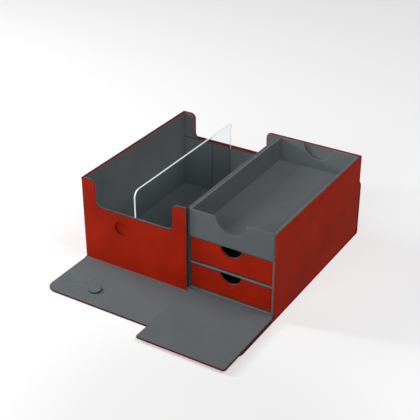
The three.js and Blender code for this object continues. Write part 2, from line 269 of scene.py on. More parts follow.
@dataclass(frozen=True)
class Napped(Finish):
    """A napped covering, clouded where its nap lies another way.

    Its colour is a mix of two by a coarse noise, times a fleck from a fine noise that also
    lifts the surface. A real nap is about 0.1 mm across, too fine to show in the render,
    so its grain is drawn as coarse as it needs to show.
    """

    face: str
    cloud: str
    clouds: Noise
    cloud_range: tuple[float, float]
    grain: Noise
    fleck: float
    roughness: float
    specular: float
    sheen: Sheen
    bump: float
    bump_mm: float
    creases: tuple[tuple[float, float, float, float], ...] = ()
    crease_mm: float = 0.9
    crease_fade: float = 0.42
    crease_painted_shade: float = 0.74
    crease_sunk: float = 4.0

    def crease(self, tree: Any, place: Any) -> Any:
        """Works out the faint pressed lines of a covering seen in plan.

        For each line: how near to it a point lies, faded out towards the line's two ends.

        Args:
            tree: The material's node tree.
            place: Object coordinates.

        Returns:
            A node that gives one on a line and zero away from it, or None without lines.
        """
        found = None
        for x0, y0, x1, y1 in self.creases:
            turn = math.atan2(y1 - y0, x1 - x0)
            length = math.hypot(x1 - x0, y1 - y0) * MM
            laid = {"Vector": place, "Location": (x0 * MM, y0 * MM, 0), "Rotation": (0, 0, turn)}
            laid = node(tree, "Mapping", laid, vector_type="TEXTURE")
            parts = node(tree, "SeparateXYZ", {"Vector": laid}).outputs
            beside = node(tree, "Math", {0: parts["Y"]}, operation="ABSOLUTE")
            down = {"To Min": 1.0, "To Max": 0.0}
            near = {"Value": beside, "From Max": self.crease_mm * MM, **down}
            line = node(tree, "MapRange", near, interpolation_type="SMOOTHSTEP")
            along = node(tree, "Math", {0: parts["X"], 1: length / 2}, operation="SUBTRACT")
            off = node(tree, "Math", {0: along}, operation="ABSOLUTE")
            fade = {"From Min": length * self.crease_fade, "From Max": length / 2, **down}
            ends = node(tree, "MapRange", {"Value": off, **fade})
            both = node(tree, "Math", {0: line, 1: ends}, operation="MULTIPLY")
            if found is not None:
                both = node(tree, "Math", {0: found, 1: both}, operation="MAXIMUM")
            found = both
        return found

    def shader(self, tree: Any) -> Any:
        """Adds the covering's nodes.

        Args:
            tree: The material's node tree.

        Returns:
            The shader node.
        """
        place = node(tree, "TexCoord").outputs["Object"]
        clouds, grain = (
            node(tree, "TexNoise", {"Vector": place, **noise.inputs})
            for noise in (self.clouds, self.grain)
        )
        start, end = self.cloud_range
        share = node(tree, "MapRange", {"Value": clouds, "From Min": start, "From Max": end})
        colours = {"A": linear(self.face), "B": linear(self.cloud)}
        body = node(tree, "Mix", {"Factor": share, **colours}, data_type="RGBA")
        span = {"To Min": 1 - self.fleck, "To Max": 1 + self.fleck}
        shade, height = node(tree, "MapRange", {"Value": grain, **span}), grain
        crease = self.crease(tree, place)
        # The pressed lines are real marks; the colour darkened along them is painted shade, and
        # the surface is sunk there.
        if crease is not None:
            span = {"To Min": 1.0, "To Max": self.crease_painted_shade}
            fade = node(tree, "MapRange", {"Value": crease, **span})
            shade = node(tree, "Math", {0: shade, 1: fade}, operation="MULTIPLY")
            sunk = node(tree, "Math", {0: crease, 1: self.crease_sunk}, operation="MULTIPLY")
            height = node(tree, "Math", {0: height, 1: sunk}, operation="SUBTRACT")
        colour = node(tree, "VectorMath", {0: body, "Scale": shade}, operation="SCALE")
        lift = {"Strength": self.bump, "Distance": self.bump_mm * MM}
        return node(tree, "BsdfPrincipled", {
            "Base Color": colour,
            "Roughness": self.roughness,
            "Specular IOR Level": self.specular,
            "Sheen Weight": self.sheen.weight,
            "Sheen Roughness": self.sheen.roughness,
            "Sheen Tint": linear(self.sheen.tint),
            "Normal": node(tree, "Bump", {"Height": height, **lift}),
        })


@dataclass(frozen=True)
class Leatherette(Napped):
    """Sueded polyurethane leatherette, glued over grey board.

    To the eye: a matte face with a fine grain, clouded where the nap lies another way.
    """

    slot: ClassVar[Slot | None] = Slot.LEATHERETTE
    name: str = "sueded polyurethane leatherette"
    face: str = "ac2308"
    cloud: str = "931b05"
    clouds: Noise = Noise(60.0, 5.0, 0.6)
    cloud_range: tuple[float, float] = (0.36, 0.66)
    grain: Noise = Noise(0.8, 3.0, 0.7)
    fleck: float = 0.1
    roughness: float = 0.72
    specular: float = 0.08
    sheen: Sheen = Sheen(0.02, 0.5, "c8503a")
    bump: float = 0.35
    bump_mm: float = 0.12


@dataclass(frozen=True)
class Microfibre(Napped):
    """Short-napped microfibre, bonded over board.

    To the eye: dead matte grey with a soft bloom at grazing angles and faint brushed patches.
    """

    slot: ClassVar[Slot | None] = Slot.LINED_BOARD
    name: str = "brushed microfibre lining"
    face: str = "6a6f73"
    cloud: str = "666b6e"
    clouds: Noise = Noise(38.0, 4.0, 0.55)
    cloud_range: tuple[float, float] = (0.35, 0.65)
    grain: Noise = Noise(0.7, 2.0, 0.8)
    fleck: float = 0.12
    roughness: float = 0.95
    specular: float = 0.15
    sheen: Sheen = Sheen(0.08, 0.4, "c4ccd2")
    bump: float = 0.4
    bump_mm: float = 0.15


@dataclass(frozen=True)
class Acrylic(Finish):
    """Cast acrylic sheet.

    To the eye: its polished faces all but vanish, and its sawn edge is pale and cloudy. The
    edge's small emission is a painted glow that stands in for the light the sheet gathers.
    """

    slot: ClassVar[Slot | None] = Slot.CLEAR_ACRYLIC
    name: str = "cast acrylic sheet"
    tint: str = "f3f8fa"
    roughness: float = 0.02
    cloudy: float = 0.0
    # Emission strength of the painted glow.
    glow: float = 0.0
    ior: float = 1.49

    def shader(self, tree: Any) -> Any:
        """Adds the sheet's one node."""
        return node(tree, "BsdfPrincipled", {
            "Base Color": linear(self.tint),
            "Roughness": self.roughness,
            "IOR": self.ior,
            "Transmission Weight": 1.0 - self.cloudy,
            "Emission Color": WHITE,
            "Emission Strength": self.glow,
        })


@dataclass(frozen=True)
class SweepPaper(Finish):
    """Matt white paper that the box stands on.

    To the eye: nearly white, paler away from the box, with a soft shadow. The rays that
    show it see a darker paper with an even light of its own, which keeps the shadow pale.
    That light grows with the distance from a point in front of the box. All other rays
    meet plain paper.
    """

    name: str = "matt white backdrop paper"
    face: str = "e6e6e6"
    seen_face: str = "c0c0c0"
    light: tuple[float, float] = (0.41, 0.54)
    light_from: tuple[float, float] = (0.08, 0.3)
    light_centre: tuple[float, float, float] = (0.16, -0.34, 0.0)

    def shader(self, tree: Any) -> Any:
        """Adds the paper's nodes.

        Args:
            tree: The material's node tree.

        Returns:
            The shader node.
        """
        paper = node(tree, "BsdfDiffuse", {"Color": linear(self.face)})
        place = node(tree, "TexCoord").outputs["Object"]
        away = node(tree, "VectorMath", {0: place, 1: self.light_centre}, operation="DISTANCE")
        spans = zip(("From Min", "From Max", "To Min", "To Max"), (*self.light_from, *self.light))
        inputs = {"Value": away, **dict(spans)}
        light = node(tree, "MapRange", inputs, interpolation_type="SMOOTHSTEP")
        glow = node(tree, "Emission", {"Color": WHITE, "Strength": light})
        pale = node(tree, "BsdfDiffuse", {"Color": linear(self.seen_face)})
        both = node(tree, "AddShader", {0: pale, 1: glow})
        return node(tree, "MixShader", {0: seen_rays(tree), 1: paper, 2: both})


def once(finish: Finish) -> Any:
    """Declares a field that makes its finish when the set of finishes is made."""
    return field(default_factory=finish.skin)


@dataclass
class Finishes:
    """Every finish of the box, each made once.

    Darker copies of the leatherette and the lining are painted shade on edges, strips and
    parts that the light reaches less, a paler copy of the lining is painted light on the
    ends that face the lamps, and the acrylic's sawn edge has a painted glow.
    """

    leather: Skin = once(Leatherette())
    # Painted shade: a darker copy of the leatherette, put on edges that the light misses.
    turned: Skin = once(Leatherette("leatherette darkened as painted edge shade", "5e1c22", "50151b"))
    lining: Skin = once(Microfibre())
    # Painted shade: the same microfibre drawn darker for the drawer unit, its drawers, the tray's
    # front end and the door.
    painted_shade_unit_lining: Skin = once(
        Microfibre("microfibre drawn darker as painted shade on the drawer unit", "626769", "5e6366")
    )
    # Its pressed lines, in plan, carry painted shade along them.
    flap_lining: Skin = once(Microfibre(
        "brushed microfibre flap lining", "646b6e", "60676a",
        creases=(
            (-105.0, -210.0, -97.7, -147.0),
            (-136.0, -197.5, -123.8, -187.2),
            (-124.4, -187.4, -103.0, -177.6),
        ),
    ))
    # Painted light: a paler copy of the lining, put on ends that face the lamps.
    painted_light_lining: Skin = once(Microfibre("microfibre drawn paler as painted light", "72787c", "6d7377"))
    # Painted shade: a dark copy of the lining, put on faces that lie in shade.
    painted_shade_lining: Skin = once(Microfibre("microfibre drawn darker as painted shade", "43474a", "3d4144"))
    clear: Skin = once(Acrylic())
    # Painted glow: the sawn edge's small emission is painted light.
    edge: Skin = once(Acrylic("sawn acrylic edge", "eef1f2", 0.5, cloudy=0.85, glow=0.12))
    paper: Skin = once(SweepPaper())


def arc(
    x: float, y: float, radius: float, start: float, end: float, steps: int = ARC_STEPS
) -> np.ndarray:
    """Points on an arc.

    Args:
        x: Centre across.
        y: Centre up.
        radius: Radius.
        start: First angle in degrees.
        end: Last angle in degrees.
        steps: Number of chords.

    Returns:
        An array of points: centre plus radius times cosine and sine of the angle.
    """
    turn = np.radians(np.linspace(start, end, steps + 1))
    return np.stack([x + radius * np.cos(turn), y + radius * np.sin(turn)], 1)


def join(*runs: Any) -> np.ndarray:
    """Lays runs of points end to end."""
    return np.concatenate(runs)


def rounded_loop(
    x0: float, y0: float, x1: float, y1: float, radii: Sequence[float]
) -> np.ndarray:
    """A rectangle with four round corners, counter-clockwise from the low left one.

    Args:
        x0: Left edge.
        y0: Low edge.
        x1: Right edge.
        y1: High edge.
        radii: Corner radii: low left, low right, high right, high left.

    Returns:
        The loop's points.
    """
    a, b, c, d = radii
    return tidy_loop(join(
        arc(x0 + a, y0 + a, a, 180, 270),
        arc(x1 - b, y0 + b, b, 270, 360),
        arc(x1 - c, y1 - c, c, 0, 90),
        arc(x0 + d, y1 - d, d, 90, 180),
    ))


def inset_loop(
    loop: np.ndarray, roll: float, hold: float, square: tuple[float, float] | None
) -> np.ndarray:
    """Moves a loop's edges to the left of its run, which is into the sheet.

    With unit normals n and m of the two edges at a point and their distances d and e, the
    point moves by (n + m)(d + e) / 2(1 + n.m) + (n - m)(d - e) / 2(1 - n.m).

    Args:
        loop: Points of a closed loop.
        roll: How far the edges move.
        hold: A further distance that all edges move.
        square: The outward way of edges that leave out the roll, if any do.

    Returns:
        The moved loop.
    """
    facing, least_same, least_apart = 0.98, 0.3, 0.05
    ahead = np.roll(loop, -1, 0) - loop
    ahead /= np.linalg.norm(ahead, axis=1, keepdims=True)
    n = np.stack([-ahead[:, 1], ahead[:, 0]], 1)
    d = np.full(len(loop), roll + hold)
    if square is not None:
        d[n @ np.array(square) < -facing] = hold
    m, e = np.roll(n, 1, 0), np.roll(d, 1)
    cosine = (n * m).sum(1)
    same = (d + e) / 2 / np.maximum(1 + cosine, least_same)
    apart = np.where(d == e, 0.0, (d - e) / 2 / np.maximum(1 - cosine, least_apart))
    return loop + (n + m) * same[:, None] + (n - m) * apart[:, None]


def with_stations(loop: np.ndarray, stations: Sequence[float]) -> np.ndarray:
    """Adds points to a loop where its edges pass given places along the first axis.

    On the edge from p to q the place s has the point p + (q - p)(s - p1) / (q1 - p1). All
    points are then put in the order of their edge's number plus their share of the edge.

    Args:
        loop: Points of a closed loop.
        stations: The places.

    Returns:
        The loop with the added points.
    """
    ahead = np.roll(loop, -1, 0)
    places = np.array(stations)
    low = np.minimum(loop[:, :1], ahead[:, :1]) + CORNER_MM
    high = np.maximum(loop[:, :1], ahead[:, :1]) - CORNER_MM
    edge, number = np.nonzero((places > low) & (places < high))
    gone = places[number] - loop[edge, 0]
    run = (ahead - loop)[edge]
    added = loop[edge] + run * gone[:, None] / run[:, :1]
    key = join(np.arange(len(loop)), edge + gone / run[:, 0])
    return join(loop, added)[np.argsort(key, kind="stable")]


def tidy_loop(loop: np.ndarray) -> np.ndarray:
    """Drops points that repeat the one before."""
    gap = np.linalg.norm(loop - np.roll(loop, 1, 0), axis=1)
    return loop[gap > REPEAT_MM]


def next_points(loops: Sequence[np.ndarray]) -> np.ndarray:
    """Numbers the point that follows each point, in closed loops laid end to end.

    Args:
        loops: The loops.

    Returns:
        One number for each point of the loops.
    """
    ends = np.cumsum([len(loop) for loop in loops])
    spans = [np.arange(end - len(loop), end) for loop, end in zip(loops, ends)]
    return join(*(np.roll(span, -1) for span in spans))


def quads(after: np.ndarray, rings: int) -> np.ndarray:
    """The faces between rings of points.

    Args:
        after: The number of the point that follows each point of the first ring.
        rings: Number of rings.

    Returns:
        For each point its face: itself, the one after it, and these two on the next ring.
    """
    count = len(after)
    here = np.arange(count)
    level = (np.arange(rings - 1) * count)[:, None, None]
    first = np.stack([here, after, after + count, here + count], 1)
    return (first[None] + level).reshape(-1, 4)


def tube(count: int, rings: int) -> list[np.ndarray]:
    """The faces of a tube with both ends closed.

    Args:
        count: Number of points of a ring.
        rings: Number of rings.

    Returns:
        Its quads, its first end and its last end.
    """
    here = np.arange(count)
    last = here + (rings - 1) * count
    return [quads(np.roll(here, -1), rings), here[::-1][None], last[None]]


def turned(profile: np.ndarray, count: int = 64) -> Surface:
    """A profile of radius and height turned about the height axis, closed at both ends.

    The point at turn t is (r cos t, r sin t, h). The profile's two ends first run level to
    the axis, where a tiny face closes them.

    Args:
        profile: Pairs of radius and height.
        count: Number of steps round.

    Returns:
        Points and faces.
    """
    (_, first), (_, last) = profile[[0, -1]]
    profile = join([(AXIS_MM, first)], profile, [(AXIS_MM, last)])
    turn = np.linspace(0, 2 * math.pi, count, endpoint=False)
    rings = profile[:, 0, None, None] * np.stack([np.cos(turn), np.sin(turn)], 1)[None]
    heights = np.broadcast_to(profile[:, 1, None, None], (len(profile), count, 1))
    points = np.concatenate([rings, heights], 2).reshape(-1, 3)
    return points, tube(count, len(profile))


def inside(points: np.ndarray, loop: np.ndarray) -> np.ndarray:
    """Tells which points lie within a closed loop.

    A point is within when a line drawn from it to the right crosses the loop's edges an
    odd number of times.

    Args:
        points: The points.
        loop: The loop.

    Returns:
        True for each point that lies within.
    """
    end = np.roll(loop, -1, 0)
    x, y = points[:, :1], points[:, 1:]
    spans = (loop[:, 1] > y) != (end[:, 1] > y)
    rise = np.where(end[:, 1] == loop[:, 1], 1.0, end[:, 1] - loop[:, 1])
    crossing = loop[:, 0] + (y - loop[:, 1]) / rise * (end[:, 0] - loop[:, 0])
    return (spans & (x < crossing)).sum(1) % 2 == 1


@dataclass
class Sheet:
    """A sheet of any outline with rolled edges.

    Its surface is the outline carried along a profile: from the low face, round a quarter
    circle, up the edge, round a second quarter circle and on to the high face. The two
    faces are then filled.
    """

    loops: list[np.ndarray]
    low: float
    high: float
    low_roll: float = 0.0
    high_roll: float = 0.0
    ribs: Sequence[float] = ()
    steps: int = 4
    square: tuple[float, float] | None = None
    rim: float = 0.25

    def profile(self) -> np.ndarray:
        """Works out the rolled edge.

        At turn t of a quarter circle of radius r the inset is r(1 - sin t) and the height
        is r(1 - cos t) from the face. A last ring a little further in keeps the faces flat.
        Without a radius the edge stays square.

        Returns:
            The inset, further inset and height of each ring.
        """
        if self.low_roll == self.high_roll == 0:
            return np.array([(0.0, 0.0, self.low), (0.0, 0.0, self.high)])
        turn = np.linspace(0, math.pi / 2, self.steps + 1)
        inset, rise, further = 1 - np.sin(turn), 1 - np.cos(turn), np.zeros(self.steps + 1)
        low, high = (
            np.column_stack([roll * inset, further, face + way * roll * rise])
            for face, way, roll in ((self.low, 1, self.low_roll), (self.high, -1, self.high_roll))
        )
        rings = join(low[:1], low, high[::-1], high[:1])
        rings[[0, -1], 1] = self.rim
        return rings

    def fill(self, loops: list[np.ndarray]) -> np.ndarray:
        """Fills a face between its loops with triangles, keeping its ribs.

        All that the outline encloses is filled, and what lies in a hole is then dropped.

        Args:
            loops: The face's loops, outline first, then holes.

        Returns:
            Triangles as numbers of the loops' points, laid end to end.
        """
        points = join(*loops)
        near = np.abs(points[:, 0] - np.reshape(self.ribs, (-1, 1))) < RIB_MM
        ribs = np.nonzero(near[near.sum(1) == 2])[1].reshape(-1, 2)
        edges = np.column_stack([np.arange(len(points)), next_points(loops)])
        pairs = join(edges, ribs).tolist()
        corners = [tuple(p) for p in points.tolist()]
        filled = delaunay_2d_cdt(corners, pairs, [], ENCLOSED, CORNER_MM)
        apart = np.array(filled[0])[:, None] - points[None]
        numbers = (apart**2).sum(2).argmin(1)
        triangles = numbers[np.array(filled[2])]
        whole = (triangles != np.roll(triangles, 1, 1)).all(1)
        in_holes = [inside(points[triangles].mean(1), hole) for hole in loops[1:]]
        return triangles[whole & ~np.any(in_holes, 0)]

    def surface(self, carry: Mapping) -> Surface:
        """Works out the sheet's points and faces.

        Args:
            carry: Takes outline points and heights to points in the box.

        Returns:
            Points in millimetres, and arrays of quads and triangles.
        """
        profile = self.profile()
        rings = [
            [inset_loop(loop, roll, hold, self.square) for loop in self.loops]
            for roll, hold, _ in profile
        ]
        outline = np.concatenate([loop for ring in rings for loop in ring])
        after = next_points(self.loops)
        points = carry(outline[:, 0], outline[:, 1], np.repeat(profile[:, 2], len(after)))
        low = self.fill(rings[0])[:, ::-1]
        high = self.fill(rings[-1]) + len(after) * (len(profile) - 1)
        return points, [quads(after, len(profile)), low, high]


@dataclass
class FallingFace:
    """An upright sheet whose front face falls back along a quarter round at its two sides.

    At a distance x inside the last r of a side, the face falls back by r - sqrt(r^2 - x^2),
    and the sheet thins by as much, so its back stays flat.
    """

    left: float
    right: float
    near: float
    thickness: float
    radius: float
    first_turn: float = 0.25
    rings: int = 6
    most: float = 0.98

    @property
    def stations(self) -> np.ndarray:
        """Places across the sheet where the round needs points."""
        turns = np.linspace(self.first_turn, math.pi / 2, self.rings)
        inwards = self.radius * (1 - np.cos(turns))
        return join(self.left + inwards, self.right - inwards[::-1])

    def carry(self, u: np.ndarray, v: np.ndarray, w: np.ndarray) -> np.ndarray:
        """Stands the sheet up and lets its face fall back.

        Args:
            u: Places across.
            v: Heights.
            w: Places along the depth axis, from the face to the back.

        Returns:
            Points in the box.
        """
        beyond = np.maximum(self.left + self.radius - u, u - self.right + self.radius)
        x = np.clip(beyond, 0, self.radius * self.most)
        fall = self.radius - np.sqrt(self.radius**2 - x**2)
        share = 1 - (w - self.near) / self.thickness
        return np.column_stack([u, w + fall * share, v])


@dataclass
class Band:
    """A wall bent round corners, as seen from above.

    A place along the wall lies between an outer and an inner line. The point at a depth w
    is outer + (inner - outer) w / thickness.
    """

    stations: np.ndarray
    outer: np.ndarray
    inner: np.ndarray
    thickness: float

    def carry(self, u: np.ndarray, v: np.ndarray, w: np.ndarray) -> np.ndarray:
        """Bends the sheet.

        Args:
            u: Places along the wall.
            v: Heights.
            w: Depths from the outer line.

        Returns:
            Points in the box.
        """
        outer, inner = (
            np.column_stack([np.interp(u, self.stations, line[:, axis]) for axis in (0, 1)])
            for line in (self.outer, self.inner)
        )
        plan = outer + (inner - outer) * (w / self.thickness)[:, None]
        return np.column_stack([plan, v])


class Workshop:
    """Puts finished surfaces into the scene, on their bodies."""

    corner_more: ClassVar[float] = 0.4

    def __init__(self, finishes: Finishes) -> None:
        """Keeps the finishes at hand."""
        self.finishes = finishes
        self.made = 0

    def place(
        self,
        name: str,
        surface: Surface,
        finish: Skin,
        body: str | None,
        nodes: Sequence[str] = (),
        smooth: float = 40.0,
    ) -> bpy.types.Object:
        """Makes one object from a closed surface, with its faces turned outwards.

        They look outwards when the surface's volume, summed over its triangles, is above
        zero.

        Args:
            name: The piece's name.
            surface: Points in millimetres and arrays of faces.
            finish: Its material and slot.
            body: The body that it moves with, or None for a piece that is on no body.
            nodes: The solids that it stands for.
            smooth: Largest angle in degrees that is shaded smooth.

        Returns:
            The object.
        """
        points, faces = surface
        fans = [
            np.stack([f[:, 0], f[:, i], f[:, i + 1]], 1)
            for f in faces
            for i in range(1, f.shape[1] - 1)
        ]
        corner = points[np.concatenate(fans)]
        cross = np.cross(corner[:, 1], corner[:, 2])
        if np.einsum("ij,ij->i", corner[:, 0], cross).sum() < 0:
            faces = [f[:, ::-1] for f in faces]
        mesh = bpy.data.meshes.new(name)
        mesh.from_pydata((points * MM).tolist(), [], [row for f in faces for row in f.tolist()])
        mesh.materials.append(finish.material)
        mesh.polygons.foreach_set("use_smooth", np.ones(len(mesh.polygons), bool))
        mesh.set_sharp_from_angle(angle=math.radians(smooth))
        mesh.update()
        made = add_object(name, mesh)
        if nodes:
            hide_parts(*nodes)
        if body:
            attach(made, body)
        self.made += 1
        log.info("%s: %d faces", name, len(mesh.polygons))
        return made

    def refinish(self, made: bpy.types.Object, finish: Skin, choose: Chooser) -> None:
        """Gives some faces of a piece a second finish.

        Args:
            made: The piece.
            finish: The second finish.
            choose: Takes the faces' normals and their centres in millimetres and gives
                True for each face that gets the finish.
        """
        faces = made.data.polygons
        normals, centres = np.zeros(len(faces) * 3), np.zeros(len(faces) * 3)
        faces.foreach_get("normal", normals)
        faces.foreach_get("center", centres)
        made.data.materials.append(finish.material)
        chosen = choose(normals.reshape(-1, 3), centres.reshape(-1, 3) / MM)
        faces.foreach_set("material_index", chosen.astype(np.int32))

    def soften(
        self, part: str, body: str, roll: float, finish: Skin, lower: float = 0.0
    ) -> bpy.types.Object:
        """Gives a plain board of the solids rolled edges and corners, in its own place.

        Args:
            part: The solid's node name.
            body: The body that it moves with.
            roll: Radius of its edges. Its corners' is a little larger.
            finish: Its material and slot.
            lower: How far its top is brought down.

        Returns:
            The new object.
        """
        corner = roll + self.corner_more
        low, high = extent(part)
        high[2] -= lower
        thin = int(np.argmin(high - low))
        way = next(lie for lie in Lie if lie.value[2] == thin)
        a, b, c = way.value
        loop = rounded_loop(low[a], low[b], high[a], high[b], [corner] * 4)
        surface = Sheet([loop], low[c], high[c], roll, roll).surface(way.carry)
        return self.place(f"{part}_soft", surface, finish, body, [part])


@dataclass
class Sizes:
    """Sizes in millimetres that the sub-assemblies share, measured on the solids."""

    left: float = extent("base_panel").low[0]
    right: float = extent("base_panel").high[0]
    front: float = extent("base_panel").low[1]
    back: float = extent("base_panel").high[1]
    deck: float = extent("base_panel").high[2]
    top: float = extent("card_box_left_cover").high[2]
    card_right: float = extent("card_box_front_cover").high[0]
    board_front: float = extent("card_box_right_board").low[1]
    unit_right: float = extent("drawer_unit_right_cover").low[0]
    cover: float = extent("card_box_left_cover").size[0]
    wall: float = extent("card_box_left_cover", "card_box_left_board").size[0]
    flap_cover: float = extent("front_flap_cover").size[2]
    flap: float = extent("front_flap_cover", "front_flap_lining").size[2]


@dataclass
class Assembly:
    """A sub-assembly: it has its own sizes and builds its pieces in the workshop."""

    shop: Workshop
    s: Sizes

    @property
    def finishes(self) -> Finishes:
        """The workshop's finishes."""
        return self.shop.finishes


@dataclass
class CardBox(Assembly):
    """The open box on the left: posted end walls, recesses, guides, floor and divider."""

    post: float = 21.5
    right_post: float = 19.7
    level: float = 86.5
    crest: float = 8.0
    foot: float = 7.5
    corner: float = 1.2
    seam_corner: float = 0.9
    inner_corner: float = 0.2
    bend: float = 3.8
    seams: tuple[float, float, float] = (0.9, 2.7, 2.7)
    turn_over: float = 1.3
    step: float = 0.5
    recess_across: float = -84.0
    recess_up: float = 64.55
    hole: float = 9.85
    cup_radii: tuple[float, float] = (9.3, 9.8)
    cup_depths: tuple[float, float] = (2.45, 2.98)
    cup_lip: float = 0.25
    cup_foot: float = 0.5
    divider_corners: tuple[float, float, float, float] = (4.0, 4.0, 2.0, 10.0)
    divider_roll: float = 0.25
    cover_rolls: tuple[float, float] = (0.6, 0.2)
    lining_rolls: tuple[float, float] = (0.3, 0.3)
    board_roll: float = 1.2
    floor_roll: float = 0.45
    guide_roll: float = 0.2
    strip_laps: tuple[float, float] = (0.2, 0.6)
    strip_ends: tuple[float, float] = (0.1, 0.4)
    strip_sides: tuple[float, float] = (0.9, 0.05)

    def posted_top(
        self, u0: float, u1: float, first: float, second: float, drop: float
    ) -> np.ndarray:
        """The top line of a wall with two posts and a low level between.

        Args:
            u0: Where the wall starts.
            u1: Where it ends.
            first: Width of the post at its start.
            second: Width of the post at its end.
            drop: How far the line is set in from the wall's own top.

        Returns:
            The line's points.
        """
        top, level = self.s.top - drop, self.level - drop
        crest, foot = self.crest - drop, self.foot + drop
        a, b = u0 + first - drop, u1 - second + drop
        return join(
            [[u0, top]],
            arc(a - crest, top - crest, crest, 90, 0),
            arc(a + foot, level + foot, foot, 180, 270),
            arc(b - foot, level + foot, foot, 270, 360),
            arc(b + crest, top - crest, crest, 180, 90),
            [[u1, top]],
        )

    def wall_loops(self, stations: np.ndarray, drop: float) -> list[np.ndarray]:
        """The walls rolled out flat, counter-clockwise, with the two recess holes.

        The first axis is the way round the box, from the front wall's right end over the
        left wall to the back wall's right end.

        Args:
            stations: Places where the wall bends, which get points of their own, between
                its start and its end.
            drop: How far the top is set in on the left and back walls.

        Returns:
            The outline and the two holes.
        """
        s, end = self.s, stations[-1]
        width = s.card_right - s.left
        back_start = width + s.back - s.front
        front_top = self.posted_top(0, width, self.right_post, self.post, 0.0)
        step = [[width + self.step, s.top - drop]] if drop else np.zeros((0, 2))
        back_top = self.posted_top(back_start, end, self.post, self.right_post, drop)
        over = join(front_top, step, back_top)
        outline = join([[0, s.deck], [end, s.deck]], over[::-1])
        middles = (s.card_right - self.recess_across, back_start + self.recess_across - s.left)
        holes = [arc(u, self.recess_up, self.hole, 360, 0, HOLE_STEPS)[:-1] for u in middles]
        return [tidy_loop(with_stations(outline, stations[1:-1])), *holes]

    def band(
        self, gaps: Sequence[Sequence[float]], radii: Sequence[float], thickness: float
    ) -> Band:
        """A layer's way round the front, left and back walls, with round corners.

        On a corner each line is its own centre plus its own radius along one shared
        turning direction. From the bend's end on, both lines run on straight and level.

        Args:
            gaps: How far the layer's outer face lies inside the box's front, left and
                back, and how far its inner face does.
            radii: Corner radius of the outer face and of the inner face.
            thickness: The layer's thickness.

        Returns:
            The band.
        """
        s, reach, near = self.s, self.bend, self.corner
        width, depth = s.card_right - s.left, s.back - s.front
        turns = [
            [[at - reach], np.linspace(at - near, at + near, BEND_STEPS + 1), [at + reach]]
            for at in (width, width + depth)
        ]
        stations = join([0], *turns[0], *turns[1], [2 * width + depth])
        lines = []
        for (at_front, at_left, at_back), r in zip(gaps, radii):
            x, y0, y1 = s.left + at_left, s.front + at_front, s.back - at_back
            lines.append(join(
                [[s.card_right, y0], [s.left + reach, y0]],
                arc(x + r, y0 + r, r, 270, 180, BEND_STEPS),
                [[x, s.front + reach], [x, s.back - reach]],
                arc(x + r, y1 - r, r, 180, 90, BEND_STEPS),
                [[s.left + reach, y1], [s.card_right, y1]],
            ))
        return Band(stations, *lines, thickness)

    def walls(self) -> None:
        """Builds the covered boards and their linings, each in one piece round three walls."""
        finishes, s = self.finishes, self.s
        faces_at, inside_at = (0.0, 0.0, 0.0), (s.wall, s.wall, s.wall)
        outer, seam, inner = self.corner, self.seam_corner, self.inner_corner
        cover = self.band((faces_at, self.seams), (outer, seam), s.cover)
        board = self.band((self.seams, inside_at), (seam, inner), s.wall - s.cover)
        for name, ending, band, rolls, drop, finish in (
            ("covered_walls", "cover", cover, self.cover_rolls, 0.0, finishes.leather),
            ("lining", "board", board, self.lining_rolls, self.turn_over, finishes.lining),
        ):
            loops = self.wall_loops(band.stations, drop)
            wall = Sheet(loops, 0.0, band.thickness, *rolls, ribs=band.stations[1:-1])
            nodes = [f"card_box_{side}_{ending}" for side in ("front", "left", "back")]
            surface = wall.surface(band.carry)
            made = self.shop.place("card_box_" + name, surface, finish, "box", nodes)
            # Painted shade: the covering's top edges and the posts' sides get the darker
            # leatherette.
            if ending == "cover":
                self.shop.refinish(made, finishes.turned, self.painted_shade_edges)

    def painted_shade_edges(self, normals: np.ndarray, centres: np.ndarray) -> np.ndarray:
        """Chooses where the covering gets painted shade: all that looks up, and the posts' sides.

        Args:
            normals: The faces' normals.
            centres: The faces' centres.

        Returns:
            True for each face that gets painted shade.
        """
        corner_end, aside, upward = self.s.left + 4.0, 0.9, 0.1
        beside = (np.abs(normals[:, 1]) < aside) & (centres[:, 0] > corner_end)
        return (normals[:, 2] > upward) | (beside & (centres[:, 2] > self.level))

    def recess(self, name: str, face: float, inwards: int) -> None:
        """Builds a shallow round pocket: a profile turned about the recess's axis.

        The point at turn t of profile radius r and depth d is centre + r(cos t, sin t),
        and d into the wall.

        Args:
            name: The solid that it stands for.
            face: The wall's outer face.
            inwards: 1 or -1, the way into the wall along the depth axis.
        """
        (inner, outer), (floor, depth) = self.cup_radii, self.cup_depths
        lip, foot = self.cup_lip, self.cup_foot
        profile = join(
            arc(inner - foot, floor - foot, foot, 90, 0, SMALL_STEPS),
            arc(inner + lip, lip, lip, 180, 270, SMALL_STEPS),
            [(outer, 0.0), (outer, depth)],
        )
        points, faces = turned(profile)
        x, y, z = points.T
        placed = [x + self.recess_across, face + inwards * z, y + self.recess_up]
        surface = np.column_stack(placed), faces
        finishes = self.finishes
        made = self.shop.place(name + "_soft", surface, finishes.leather, "box", [name])
        # Painted shade: the pocket's side wall gets the darker leatherette.
        self.shop.refinish(made, finishes.turned, Way.FRONT.skirted(0.5))

    def divider(self) -> None:
        """Builds the clear sheet: polished faces and a paler sawn edge with a painted glow."""
        finishes = self.finishes
        low, high = extent("divider")
        loop = rounded_loop(low[1], low[2], high[1], high[2], self.divider_corners)
        roll = self.divider_roll
        sheet = Sheet([loop], low[0], high[0], roll, roll, steps=2).surface(Lie.FACING_SIDE.carry)
        made = self.shop.place(
            "divider_sheet", sheet, finishes.clear, "divider", ["divider"], smooth=30.0
        )
        # The sawn edge gets the cloudy finish with its painted glow.
        self.shop.refinish(made, finishes.edge, Way.RIGHT.skirted(0.9))

